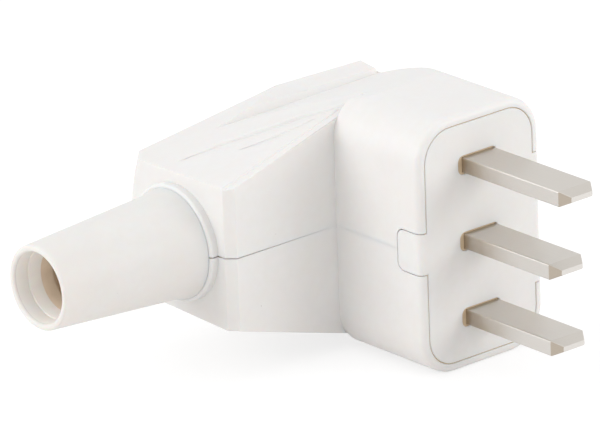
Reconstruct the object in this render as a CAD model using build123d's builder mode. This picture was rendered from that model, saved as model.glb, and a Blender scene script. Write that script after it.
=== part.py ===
import os

from build123d import *

os.makedirs("parts", exist_ok=True)

# A rewirable three-pin cooker plug with a side cord outlet, in millimetres.
# The pin face lies in XZ at y = 0, the blades point along -Y, the cord leaves along -X and +Z is up.
# The housing is an upper and a lower half that part in the plane z = 0.

# Clearances: between moulded parts, of their seams that show, round a blade, of a thread and of a shank
fit = 0.1
seam_gap = 0.18
blade_fit = 0.05
thread_fit = 0.05
shank_fit = 0.2

# Block behind the pin face
block_width = 30.1
block_height = 50.0
block_corner_r = 8.0
front_edge_r = 1.3

# Rear grip: crowned back, top and bottom that slope to a valley, and a lip behind it
back_y = 54.4
crown_r = 41.0
slope_start = (17.0, 26.0)
slope_mid = (34.0, 21.15)
valley = (45.3, 16.95)
slope_tilt = 0.015
riser_run = 0.45
lip_front_height = 17.75
lip_back_y = 50.3
lip_back_left_height = 19.1
lip_back_right_height = 18.4

# Cord box, which ramps up from its end face to the block: upper and lower half
box_side_y = 23.5
box_end_x = -40.9
ramp_top_x = -5.0
end_near_height = (13.8, 14.35)
end_far_height = (13.3, 13.1)
top_near_height = (24.2, 24.8)
top_far_height = (18.4, 18.2)
near_corner_chamfer = 1.65
far_corner_chamfer = 2.5
ledge_width = 1.5
ledge_drop = 0.4
ledge_rise_run = 0.3

# Diagonal grip flutes on the ramp: each point of a step's crest is x, y and the drop below it there
flute_crests = (
    ((-38.0, 41.4, 0.02), (-29.5, 39.4, 0.45), (-22.5, 35.6, 0.5), (-15.9, 31.6, 0.5), (-9.5, 24.8, 0.45)),
    ((-29.9, 33.3, 0.02), (-23.0, 30.7, 0.4), (-15.6, 27.1, 0.02)),
)
flute_run = 5.0
flute_rise = 0.3

# Parting groove round the cord box: it is widest at the collar and fades out towards the block
groove_half_width = 0.13
parting_depth = 0.8
parting_fade_x = -17.0

# Hollow of the housing
box_wall = 1.9
box_hollow_back_y = 50.2
box_hollow_end_height = 11.3
box_hollow_near_height = 19.2
box_hollow_far_height = 13.8
hollow_slope_y = 20.0
hollow_back_height = 14.8
hollow_back_slope_y = 42.5
hollow_back_y = 50.2

# Cord outlet, on a line along X through the middle of the cord box
cord_y = 38.4
collar_r = 11.4
collar_length = 1.65
collar_chamfer = 0.35
collar_gap = 0.05
sleeve_root_r = 10.4
sleeve_end_r = 8.13
sleeve_end_chamfer = 0.35
sleeve_length = 33.8
sleeve_bore_r = 5.75
sleeve_bore_length = 2.0
sleeve_inner_r = 6.9
sleeve_inner_root_r = 8.0
mouth_r = 7.2
mouth_depth = 3.6
mouth_step_r = 6.75
mouth_step_depth = 6.5
neck_r = 8.8
flange_r = 10.8
flange_length = 1.6

# Cord clamp: a bridge over the cord, screwed to a cradle in the lower half
clamp_x = -31.0
clamp_width = 6.0
clamp_half_length = 10.2
clamp_height = 7.6
clamp_seat_r = 5.6
clamp_screw_offset = 7.8
clamp_screw_r = 1.5
clamp_screw_length = 13.0
clamp_head_r = 2.6
clamp_head_height = 2.0

# Housing screws, driven from below into brass inserts
housing_screw_places = ((-19.0, 29.6), (-9.0, 45.2), (8.4, 43.6))
housing_screw_r = 1.75
housing_screw_seat = 10.0
housing_screw_reach = 5.5
housing_head_r = 3.0
housing_head_height = 2.2
boss_r = 4.2
insert_r = 2.6
insert_length = 6.0
insert_sink = 0.3

# Pin carrier: a plate with a groove round it, held by the housing's tongue
carrier_half_width = 13.2
carrier_half_height = 23.06
carrier_corner_r = 6.0
carrier_thick = 6.2
groove_front = 1.6
groove_back = 3.0
groove_depth = 1.5
rear_inset = 0.9
left_tab_half_height = 4.0
right_tab_half_height = 12.8
tab_depth = 6.3
tab_thick = 1.0
tab_corner_r = 1.6
barrier_half_width = 11.6
barrier_thick = 1.6
barrier_end_y = 20.0
root_boss_wall = 1.5

# Blades
pin_pitch = 15.0
blade_width = 8.0
blade_thick = 3.0
earth_blade_length = 28.0
live_blade_length = 24.9
blade_tail = 14.5
tip_length = 2.0
tip_side_cut = 1.4
tip_face_cut = 1.0
blade_edge_r = 0.25
slot_left_gap = 1.1
slot_right_gap = 0.4
slot_gap = 0.35
slot_depth = 6.8
slot_corner_r = 1.2

# Terminals
terminal_width = 13.6
terminal_height = 11.0
terminal_y = 8.0
terminal_depth = 13.0
wire_hole_r = 2.3
wire_hole_setback = 4.0
terminal_screw_r = 2.0
terminal_screw_tip = 1.0
terminal_head_r = 3.2
terminal_head_height = 2.4
screw_slot_width = 0.8
screw_slot_depth = 1.1

half_width = block_width / 2
half_height = block_height / 2
beyond_y = back_y + 4
above = half_height + 10
ramp_length = ramp_top_x - box_end_x
reach = half_width - box_end_x
box_hollow_end_x = box_end_x + box_wall
box_hollow_near_y = box_side_y + box_wall
terminal_back = terminal_y + terminal_depth
wire_hole_y = terminal_back - wire_hole_setback


def ramp_height(x, y, half):
    """Height of a half's ramp above the parting plane, ruled between its near and far edges."""
    along = (x - box_end_x) / ramp_length
    across = (y - box_side_y) / (back_y - box_side_y)
    at_end = end_near_height[half] + (end_far_height[half] - end_near_height[half]) * across
    at_top = top_near_height[half] + (top_far_height[half] - top_near_height[half]) * across
    return at_end + (at_top - at_end) * along


def lip_height(x, y):
    """Height of the lip behind the valley, which twists from its left end to its right end."""
    back = lip_back_left_height
    back += (lip_back_right_height - lip_back_left_height) * (x - ramp_top_x) / (half_width - ramp_top_x)
    return lip_front_height + (back - lip_front_height) * (y - valley[0]) / (lip_back_y - valley[0])


# Rear body: a ruled form that ramps up from the end face and falls away towards the back
with BuildPart() as rear_body:
    for x in (box_end_x, half_width):
        with BuildSketch(Plane.YZ.offset(x)):
            Polygon(
                (box_side_y, -ramp_height(x, box_side_y, 1)),
                (beyond_y, -ramp_height(x, beyond_y, 1)),
                (beyond_y, ramp_height(x, beyond_y, 0)),
                (box_side_y, ramp_height(x, box_side_y, 0)),
                align=None,
            )
    loft(ruled=True)
    with BuildSketch(Plane.XZ.offset(-box_side_y)):
        Rectangle(-box_end_x, block_height, align=(Align.MAX, Align.CENTER))
        RectangleRounded(block_width, block_height, block_corner_r)
    extrude(amount=-(beyond_y - box_side_y), mode=Mode.INTERSECT)
    for half, side in enumerate((1, -1)):
        # the ledge that runs up the ramp along its near edge
        edge_slope = (top_near_height[half] - end_near_height[half]) / ramp_length
        edge_z = side * end_near_height[half]
        ledge_y = box_side_y + ledge_width
        with BuildSketch(Plane.YZ.offset(box_end_x)):
            Polygon(
                (box_side_y - 1, edge_z - side * ledge_drop),
                (ledge_y, edge_z - side * ledge_drop),
                (ledge_y + ledge_rise_run, edge_z),
                (ledge_y + ledge_rise_run, edge_z + side),
                (box_side_y - 1, edge_z + side),
                align=None,
            )
        extrude(amount=ramp_length, dir=(1, 0, side * edge_slope), mode=Mode.SUBTRACT)
        # the flutes, each a step down towards the near side with a long run out
        for crest in flute_crests:
            for index, (x, y, drop) in enumerate(crest):
                before = crest[max(index - 1, 0)]
                after = crest[min(index + 1, len(crest) - 1)]
                heading = Vector(after[0] - before[0], after[1] - before[1], 0)
                at = Vector(x, y, side * ramp_height(x, y, half))
                section = Plane(origin=at, x_dir=(heading.Y, -heading.X, 0), z_dir=heading)
                up = side if section.y_dir.Z > 0 else -side
                with BuildSketch(section):
                    Polygon(
                        (0, 0),
                        (drop / 2, -up * drop),
                        (flute_run, up * flute_rise),
                        (flute_run, up * 3),
                        (0, up * 3),
                        align=None,
                    )
            loft(ruled=True, mode=Mode.SUBTRACT)

# The block's own outline, with its rounded front edge
with BuildPart() as block:
    with BuildSketch(Plane.XZ):
        RectangleRounded(block_width, block_height, block_corner_r)
    extrude(amount=-box_side_y)
    fillet(block.faces().sort_by(Axis.Y)[0].edges(), front_edge_r)

with BuildPart() as outer_form:
    add(block.part)
    add(rear_body.part)
    # the crowned back
    crown_y = back_y - crown_r
    crown_edge_y = crown_y + (crown_r**2 - half_height**2) ** 0.5
    with BuildSketch(Plane.YZ.offset(box_end_x)):
        with BuildLine():
            Polyline(
                (crown_edge_y, half_height),
                (-1, half_height),
                (-1, -half_height),
                (crown_edge_y, -half_height),
            )
            ThreePointArc((crown_edge_y, -half_height), (back_y, 0), (crown_edge_y, half_height))
        make_face()
    extrude(amount=reach, mode=Mode.INTERSECT)
    # the upright corners of the cord box's end face
    end_edges = outer_form.edges().filter_by(lambda edge: abs(edge.center().X - box_end_x) < 0.01)
    chamfer(end_edges.sort_by(Axis.Y)[0], near_corner_chamfer)
    end_edges = outer_form.edges().filter_by(lambda edge: abs(edge.center().X - box_end_x) < 0.01)
    chamfer(end_edges.sort_by(Axis.Y)[-1], far_corner_chamfer)
    for side in (1, -1):
        # the slope down to the valley, and the steep riser behind it
        tilt_drop = slope_tilt * reach
        top_run = riser_run * (above - valley[1]) / (lip_front_height - valley[1])
        with BuildSketch(Plane.YZ.offset(box_end_x)):
            with BuildLine():
                ThreePointArc(
                    (slope_start[0], side * (slope_start[1] - tilt_drop)),
                    (slope_mid[0], side * (slope_mid[1] - tilt_drop)),
                    (valley[0], side * (valley[1] - tilt_drop)),
                )
                Polyline(
                    (valley[0], side * (valley[1] - tilt_drop)),
                    (valley[0] + top_run, side * above),
                    (slope_start[0], side * above),
                    (slope_start[0], side * (slope_start[1] - tilt_drop)),
                )
            make_face()
        extrude(amount=reach, dir=(1, 0, side * slope_tilt), mode=Mode.SUBTRACT)
        # the lip behind the riser
        for x in (box_end_x, half_width):
            with BuildSketch(Plane.YZ.offset(x)):
                Polygon(
                    (valley[0], side * lip_height(x, valley[0])),
                    (beyond_y, side * lip_height(x, beyond_y)),
                    (beyond_y, side * above),
                    (valley[0], side * above),
                    align=None,
                )
        loft(ruled=True, mode=Mode.SUBTRACT)
    # the collar that the sleeve comes out of
    with BuildSketch(Plane.YZ.offset(box_end_x)):
        with Locations((cord_y, 0)):
            Circle(collar_r)
    extrude(amount=-collar_length)
    chamfer(outer_form.faces().sort_by(Axis.X)[0].edges(), collar_chamfer)

# Tabs of the carrier that wrap the front rim, and the larger notches that they lie in
tab_bodies = []
for grow in (0, seam_gap):
    with BuildPart() as tabs:
        for side, tab_half in ((-1, left_tab_half_height), (1, right_tab_half_height)):
            with BuildSketch(Plane.YZ.offset(side * (half_width - tab_thick - grow))):
                with Locations((tab_depth + grow, 0)):
                    RectangleRounded(
                        2 * tab_depth,
                        2 * (tab_half + grow),
                        tab_corner_r + grow,
                        align=(Align.MAX, Align.CENTER),
                    )
            extrude(amount=side * 2 * tab_thick)
            with BuildSketch(Plane.YZ.offset(side * (carrier_half_width - groove_depth / 2))):
                with Locations((groove_front + grow, 0)):
                    Rectangle(2 * groove_front, 2 * (tab_half + grow), align=(Align.MAX, Align.CENTER))
            extrude(amount=side * (half_width + tab_thick - carrier_half_width + groove_depth / 2))
    tab_bodies.append(tabs.part)

# Hollow of the housing, less the bosses that stand in it
with BuildPart() as block_hollow:
    with BuildSketch(Plane.XZ.offset(-(groove_back - fit))):
        inset = rear_inset - fit
        RectangleRounded(
            2 * (carrier_half_width - inset), 2 * (carrier_half_height - inset), carrier_corner_r - inset
        )
    extrude(amount=-(hollow_back_y - groove_back + fit))
    with BuildSketch(Plane.YZ.offset(-half_width)):
        Polygon(
            (0, -half_height), (hollow_slope_y, -half_height), (hollow_back_slope_y, -hollow_back_height),
            (hollow_back_y, -hollow_back_height), (hollow_back_y, hollow_back_height),
            (hollow_back_slope_y, hollow_back_height), (hollow_slope_y, half_height), (0, half_height),
            align=None,
        )
    extrude(amount=block_width, mode=Mode.INTERSECT)

with BuildPart() as hollow:
    add(block_hollow.part)
    # the cord box's hollow, which follows the ramp
    hollow_top_x = -carrier_half_width + rear_inset
    box_hollow_ends = (
        (box_hollow_end_x, box_hollow_end_height, box_hollow_end_height),
        (hollow_top_x, box_hollow_near_height, box_hollow_far_height),
    )
    for x, near, far in box_hollow_ends:
        with BuildSketch(Plane.YZ.offset(x)):
            Polygon(
                (box_hollow_near_y, -near),
                (box_hollow_back_y, -far),
                (box_hollow_back_y, far),
                (box_hollow_near_y, near),
                align=None,
            )
    loft(ruled=True)
    # room for the sleeve's flange
    with BuildSketch(Plane.YZ.offset(box_hollow_end_x)):
        with Locations((cord_y, 0)):
            Circle(flange_r + 2 * fit)
    extrude(amount=flange_length + 2 * fit)
    # screw bosses, which reach from the floor to the ceiling
    with BuildSketch(Plane.XY.offset(-above)):
        with Locations(*housing_screw_places):
            Circle(boss_r)
    extrude(amount=2 * above, mode=Mode.SUBTRACT)

# The whole housing, before it is parted
with BuildPart() as housing:
    add(outer_form.part)
    add(hollow.part, mode=Mode.SUBTRACT)
    # the opening for the carrier, with a tongue that enters its groove
    openings = ((-seam_gap, -1, groove_front + fit), (groove_depth - fit, groove_front, groove_back))
    for inset, from_y, to_y in openings:
        with BuildSketch(Plane.XZ.offset(-from_y)):
            RectangleRounded(
                2 * (carrier_half_width - inset), 2 * (carrier_half_height - inset), carrier_corner_r - inset
            )
        extrude(amount=-(to_y - from_y), mode=Mode.SUBTRACT)
    add(tab_bodies[1], mode=Mode.SUBTRACT)
    # the sleeve's seat: a wide bore in the collar and a narrow one in the end wall
    seats = ((sleeve_root_r + collar_gap, collar_length), (neck_r + fit, -box_wall))
    for seat_r, depth in seats:
        with BuildSketch(Plane.YZ.offset(box_end_x)):
            with Locations((cord_y, 0)):
                Circle(seat_r)
        extrude(amount=-depth, mode=Mode.SUBTRACT)

# A wedge-shaped groove round the cord box, along the parting plane
with BuildPart() as parting_groove:
    with BuildSketch(Plane.XZ.offset(-box_side_y + 1)):
        collar_x = box_end_x - collar_length
        Polygon(
            (collar_x, -groove_half_width), (parting_fade_x, 0), (collar_x, groove_half_width), align=None
        )
    extrude(amount=-(beyond_y - box_side_y))
    with BuildSketch(Plane.XY.offset(-1)):
        Polygon(
            (parting_fade_x, box_side_y + parting_depth),
            (box_end_x + near_corner_chamfer, box_side_y + parting_depth),
            (box_end_x + parting_depth, box_side_y + near_corner_chamfer),
            (box_end_x + parting_depth, back_y - far_corner_chamfer),
            (box_end_x + far_corner_chamfer, back_y - parting_depth),
            (parting_fade_x, back_y - parting_depth),
            align=None,
        )
    extrude(amount=2, mode=Mode.SUBTRACT)

with BuildPart() as upper_housing:
    add(housing.part)
    add(parting_groove.part, mode=Mode.SUBTRACT)
    split(bisect_by=Plane.XY, keep=Keep.TOP)
    with BuildSketch(Plane.XY):
        with Locations(*housing_screw_places):
            Circle(insert_r)
    extrude(amount=insert_sink + insert_length, mode=Mode.SUBTRACT)
upper_housing.part.label = "upper_housing"
export_step(upper_housing.part, "parts/upper_housing.step")

with BuildPart() as lower_housing:
    add(housing.part)
    add(parting_groove.part, mode=Mode.SUBTRACT)
    split(bisect_by=Plane.XY, keep=Keep.BOTTOM)
    # the cradle that the cord lies in, with a hole for each clamp screw
    with BuildSketch(Plane.YZ.offset(clamp_x - clamp_width / 2)):
        with Locations(((box_hollow_near_y + box_hollow_back_y) / 2, 0)):
            Rectangle(
                box_hollow_back_y - box_hollow_near_y + 1,
                box_hollow_end_height + box_wall,
                align=(Align.CENTER, Align.MAX),
            )
        with Locations((cord_y, 0)):
            Circle(clamp_seat_r, mode=Mode.SUBTRACT)
    extrude(amount=clamp_width)
    with BuildSketch(Plane.XY):
        with Locations((clamp_x, cord_y - clamp_screw_offset), (clamp_x, cord_y + clamp_screw_offset)):
            Circle(clamp_screw_r + thread_fit)
    extrude(amount=-(clamp_screw_length - clamp_height + 1), mode=Mode.SUBTRACT)
    # the housing screws' holes and the recesses for their heads
    with BuildSketch(Plane.XY):
        with Locations(*housing_screw_places):
            Circle(housing_screw_r + shank_fit)
    extrude(amount=-housing_screw_seat, mode=Mode.SUBTRACT)
    with BuildSketch(Plane.XY.offset(-housing_screw_seat)):
        with Locations(*housing_screw_places):
            Circle(housing_head_r + shank_fit)
    extrude(amount=-above, mode=Mode.SUBTRACT)
lower_housing.part.label = "lower_housing"
export_step(lower_housing.part, "parts/lower_housing.step")

# Pin carrier
with BuildPart() as pin_carrier:
    layers = (
        (0, 0, groove_front),
        (groove_depth, groove_front, groove_back),
        (rear_inset, groove_back, carrier_thick),
    )
    for inset, from_y, to_y in layers:
        with BuildSketch(Plane.XZ.offset(-from_y)):
            RectangleRounded(
                2 * (carrier_half_width - inset), 2 * (carrier_half_height - inset), carrier_corner_r - inset
            )
        extrude(amount=-(to_y - from_y))
    add(tab_bodies[0].intersect(block.part))
    # barriers between the terminals
    with BuildSketch(Plane.XZ.offset(-carrier_thick)):
        with Locations((0, pin_pitch / 2), (0, -pin_pitch / 2)):
            Rectangle(2 * barrier_half_width, barrier_thick)
    extrude(amount=-(barrier_end_y - carrier_thick))
    # bosses round the blades' roots
    pin_places = ((0, pin_pitch), (0, 0), (0, -pin_pitch))
    with BuildSketch(Plane.XZ.offset(-carrier_thick)):
        with Locations(*pin_places):
            Rectangle(
                blade_width + 2 * (slot_left_gap + root_boss_wall),
                blade_thick + 2 * (slot_gap + root_boss_wall),
            )
    extrude(amount=-(terminal_y - carrier_thick))
    # the passages for the blades, wider at the face
    with BuildSketch(Plane.XZ):
        with Locations(*pin_places):
            Rectangle(blade_width + 2 * blade_fit, blade_thick + 2 * blade_fit)
    extrude(amount=-terminal_y, mode=Mode.SUBTRACT)
    with BuildSketch(Plane.XZ):
        slot_middle = (slot_right_gap - slot_left_gap) / 2
        with Locations(*[(slot_middle, z) for x, z in pin_places]):
            RectangleRounded(
                blade_width + slot_left_gap + slot_right_gap, blade_thick + 2 * slot_gap, slot_corner_r
            )
    extrude(amount=-slot_depth, mode=Mode.SUBTRACT)
pin_carrier.part.label = "pin_carrier"
export_step(pin_carrier.part, "parts/pin_carrier.step")

# Each pin's blade, terminal and terminal screw
pins = (
    ("earth", pin_pitch, earth_blade_length),
    ("line", 0, live_blade_length),
    ("neutral", -pin_pitch, live_blade_length),
)
for pin, pin_z, blade_length in pins:
    with BuildPart() as blade:
        with BuildSketch(Plane.XZ.offset(-blade_tail)):
            with Locations((0, pin_z)):
                Rectangle(blade_width, blade_thick)
        extrude(amount=blade_tail + blade_length - tip_length)
        fillet(blade.edges().filter_by(Axis.Y), blade_edge_r)
        with BuildSketch(Plane.XZ.offset(blade_length - tip_length)):
            with Locations((0, pin_z)):
                RectangleRounded(blade_width, blade_thick, blade_edge_r)
        with BuildSketch(Plane.XZ.offset(blade_length)):
            with Locations((0, pin_z)):
                RectangleRounded(blade_width - 2 * tip_side_cut, blade_thick - 2 * tip_face_cut, blade_edge_r)
        loft(ruled=True)
    blade.part.label = f"{pin}_blade"
    export_step(blade.part, f"parts/{pin}_blade.step")

    with BuildPart() as terminal:
        with BuildSketch(Plane.XZ.offset(-terminal_y)):
            with Locations((0, pin_z)):
                Rectangle(terminal_width, terminal_height)
                RectangleRounded(blade_width, blade_thick, blade_edge_r, mode=Mode.SUBTRACT)
        extrude(amount=-(blade_tail - terminal_y))
        with BuildSketch(Plane.XZ.offset(-blade_tail)):
            with Locations((0, pin_z)):
                Rectangle(terminal_width, terminal_height)
        extrude(amount=-(terminal_back - blade_tail))
        # the wire's hole, and the screw's hole behind it
        with BuildSketch(Plane.YZ.offset(-terminal_width / 2)):
            with Locations((wire_hole_y, pin_z)):
                Circle(wire_hole_r)
        extrude(amount=terminal_width, mode=Mode.SUBTRACT)
        with BuildSketch(Plane.XZ.offset(-wire_hole_y)):
            with Locations((0, pin_z)):
                Circle(terminal_screw_r + thread_fit)
        extrude(amount=-wire_hole_setback, mode=Mode.SUBTRACT)
    terminal.part.label = f"{pin}_terminal"
    export_step(terminal.part, f"parts/{pin}_terminal.step")

    with BuildPart() as terminal_screw:
        with BuildSketch(Plane.XZ.offset(-terminal_back)):
            with Locations((0, pin_z)):
                Circle(terminal_screw_r)
        extrude(amount=wire_hole_setback - terminal_screw_tip)
        with BuildSketch(Plane.XZ.offset(-terminal_back)):
            with Locations((0, pin_z)):
                Circle(terminal_head_r)
        extrude(amount=-terminal_head_height)
        with BuildSketch(Plane.XZ.offset(-(terminal_back + terminal_head_height))):
            with Locations((0, pin_z)):
                Rectangle(2 * terminal_head_r + 1, screw_slot_width)
        extrude(amount=screw_slot_depth, mode=Mode.SUBTRACT)
    terminal_screw.part.label = f"{pin}_terminal_screw"
    export_step(terminal_screw.part, f"parts/{pin}_terminal_screw.step")

# Bend sleeve: a tapered tube with a stepped mouth, and a neck and flange that the end wall holds
with BuildPart() as bend_sleeve:
    sleeve_end_x = box_end_x - sleeve_length
    shoulder_x = box_end_x - fit
    flange_x = box_hollow_end_x + fit
    profile = (
        (flange_x + flange_length, sleeve_inner_root_r),
        (flange_x + flange_length, flange_r),
        (flange_x, flange_r),
        (flange_x, neck_r),
        (shoulder_x, neck_r),
        (shoulder_x, sleeve_root_r),
        (sleeve_end_x, sleeve_end_r),
        (sleeve_end_x, mouth_r),
        (sleeve_end_x + mouth_depth, mouth_r),
        (sleeve_end_x + mouth_depth, mouth_step_r),
        (sleeve_end_x + mouth_step_depth, mouth_step_r),
        (sleeve_end_x + mouth_step_depth, sleeve_bore_r),
        (sleeve_end_x + mouth_step_depth + sleeve_bore_length, sleeve_bore_r),
        (sleeve_end_x + mouth_step_depth + sleeve_bore_length, sleeve_inner_r),
    )
    with BuildSketch(Plane.XY):
        Polygon(*[(x, cord_y + r) for x, r in profile], align=None)
    revolve(axis=Axis((0, cord_y, 0), (1, 0, 0)))
    tip_edges = bend_sleeve.faces().sort_by(Axis.X)[0].edges().sort_by(SortBy.LENGTH)
    chamfer(tip_edges[-1], sleeve_end_chamfer)
bend_sleeve.part.label = "bend_sleeve"
export_step(bend_sleeve.part, "parts/bend_sleeve.step")

# Cord clamp
with BuildPart() as cord_clamp:
    with BuildSketch(Plane.YZ.offset(clamp_x - clamp_width / 2)):
        with Locations((cord_y, 0)):
            Rectangle(2 * clamp_half_length, clamp_height, align=(Align.CENTER, Align.MIN))
            Circle(clamp_seat_r, mode=Mode.SUBTRACT)
    extrude(amount=clamp_width)
    with BuildSketch(Plane.XY):
        with Locations((clamp_x, cord_y - clamp_screw_offset), (clamp_x, cord_y + clamp_screw_offset)):
            Circle(clamp_screw_r + shank_fit)
    extrude(amount=clamp_height, mode=Mode.SUBTRACT)
cord_clamp.part.label = "cord_clamp"
export_step(cord_clamp.part, "parts/cord_clamp.step")

for place, offset in (("near", -clamp_screw_offset), ("far", clamp_screw_offset)):
    with BuildPart() as clamp_screw:
        with BuildSketch(Plane.XY.offset(clamp_height)):
            with Locations((clamp_x, cord_y + offset)):
                Circle(clamp_screw_r)
        extrude(amount=-clamp_screw_length)
        with BuildSketch(Plane.XY.offset(clamp_height)):
            with Locations((clamp_x, cord_y + offset)):
                Circle(clamp_head_r)
        extrude(amount=clamp_head_height)
        with BuildSketch(Plane.XY.offset(clamp_height + clamp_head_height)):
            with Locations((clamp_x, cord_y + offset)):
                Rectangle(2 * clamp_head_r + 1, screw_slot_width)
        extrude(amount=-screw_slot_depth, mode=Mode.SUBTRACT)
    clamp_screw.part.label = f"clamp_screw_{place}"
    export_step(clamp_screw.part, f"parts/clamp_screw_{place}.step")

# Housing screws, and the inserts that they turn in
for number, (x, y) in enumerate(housing_screw_places, 1):
    with BuildPart() as housing_screw:
        with BuildSketch(Plane.XY.offset(-housing_screw_seat)):
            with Locations((x, y)):
                Circle(housing_screw_r)
        extrude(amount=housing_screw_seat + housing_screw_reach)
        with BuildSketch(Plane.XY.offset(-housing_screw_seat)):
            with Locations((x, y)):
                Circle(housing_head_r)
        extrude(amount=-housing_head_height)
        with BuildSketch(Plane.XY.offset(-(housing_screw_seat + housing_head_height))):
            with Locations((x, y)):
                Rectangle(2 * housing_head_r + 1, screw_slot_width)
        extrude(amount=screw_slot_depth, mode=Mode.SUBTRACT)
    housing_screw.part.label = f"housing_screw_{number}"
    export_step(housing_screw.part, f"parts/housing_screw_{number}.step")

    with BuildPart() as threaded_insert:
        with BuildSketch(Plane.XY.offset(insert_sink)):
            with Locations((x, y)):
                Circle(insert_r)
                Circle(housing_screw_r + thread_fit, mode=Mode.SUBTRACT)
        extrude(amount=insert_length)
    threaded_insert.part.label = f"threaded_insert_{number}"
    export_step(threaded_insert.part, f"parts/threaded_insert_{number}.step")
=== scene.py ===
"""Finishes a packed cooker plug: rounded edges, real surfaces, threads and knurls, and a plain studio."""

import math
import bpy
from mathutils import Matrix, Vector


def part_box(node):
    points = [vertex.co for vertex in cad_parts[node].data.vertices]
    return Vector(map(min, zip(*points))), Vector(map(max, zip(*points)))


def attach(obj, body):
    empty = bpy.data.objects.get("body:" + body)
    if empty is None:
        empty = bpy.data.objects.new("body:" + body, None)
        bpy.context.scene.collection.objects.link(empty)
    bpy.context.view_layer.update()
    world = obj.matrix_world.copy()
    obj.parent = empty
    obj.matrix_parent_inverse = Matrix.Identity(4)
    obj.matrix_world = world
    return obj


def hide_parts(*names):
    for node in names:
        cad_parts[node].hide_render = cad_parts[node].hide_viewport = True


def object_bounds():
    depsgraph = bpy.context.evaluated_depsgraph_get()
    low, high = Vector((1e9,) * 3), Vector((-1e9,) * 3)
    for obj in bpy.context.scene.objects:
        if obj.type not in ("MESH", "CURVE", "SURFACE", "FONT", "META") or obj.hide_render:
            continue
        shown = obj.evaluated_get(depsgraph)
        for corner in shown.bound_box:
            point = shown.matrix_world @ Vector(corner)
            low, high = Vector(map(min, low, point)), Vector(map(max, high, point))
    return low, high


bl_info = {
    "name": "Cooker plug finish",
    "version": (1, 0, 0),
    "blender": (4, 5, 0),
    "location": "3D View > Sidebar > Plug",
    "description": "Gives a packed cooker plug its finished pieces, materials and studio",
    "category": "Object",
}

import bmesh
import bpy
from mathutils import Matrix, Vector
from mathutils.bvhtree import BVHTree

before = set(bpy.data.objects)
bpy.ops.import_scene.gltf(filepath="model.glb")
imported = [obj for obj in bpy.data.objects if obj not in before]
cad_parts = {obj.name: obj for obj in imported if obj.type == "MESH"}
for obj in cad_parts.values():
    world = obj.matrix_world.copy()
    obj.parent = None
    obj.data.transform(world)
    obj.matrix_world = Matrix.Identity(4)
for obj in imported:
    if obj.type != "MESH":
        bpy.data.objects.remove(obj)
CAD_BOX = [list(corner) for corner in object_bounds()]

MM = 0.001
PINS = ("earth", "line", "neutral")
# the share of each channel that is left in plastic's darker flow marks
FLOW_TONE = (0.985, 0.975, 0.965, 1.0)


def linear(hex_colour):
    """Turn an sRGB hex colour into Blender's linear RGBA."""
    channels = [int(hex_colour[i : i + 2], 16) / 255 for i in (1, 3, 5)]
    return [c / 12.92 if c <= 0.04045 else ((c + 0.055) / 1.055) ** 2.4 for c in channels] + [1.0]


def add_node(tree, kind, settings=None, links=None):
    """Add a node: settings are its properties by name or its inputs by title, links feed its inputs."""
    node = tree.nodes.new(kind)
    for key, value in (settings or {}).items():
        if isinstance(key, str) and hasattr(node, key):
            setattr(node, key, value)
        else:
            node.inputs[key].default_value = value
    for key, socket in (links or {}).items():
        tree.links.new(socket, node.inputs[key])
    return node


def new_material(name):
    """Start an empty material, and return it with its tree and the object coordinates."""
    material = bpy.data.materials.new(name)
    material.use_nodes = True
    tree = material.node_tree
    tree.nodes.clear()
    coordinates = add_node(tree, "ShaderNodeTexCoord")
    return material, tree, coordinates.outputs["Object"]


def per_metre(size_mm):
    """The texture scale that gives one cell of a real size."""
    return 1 / (size_mm * MM)


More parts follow.
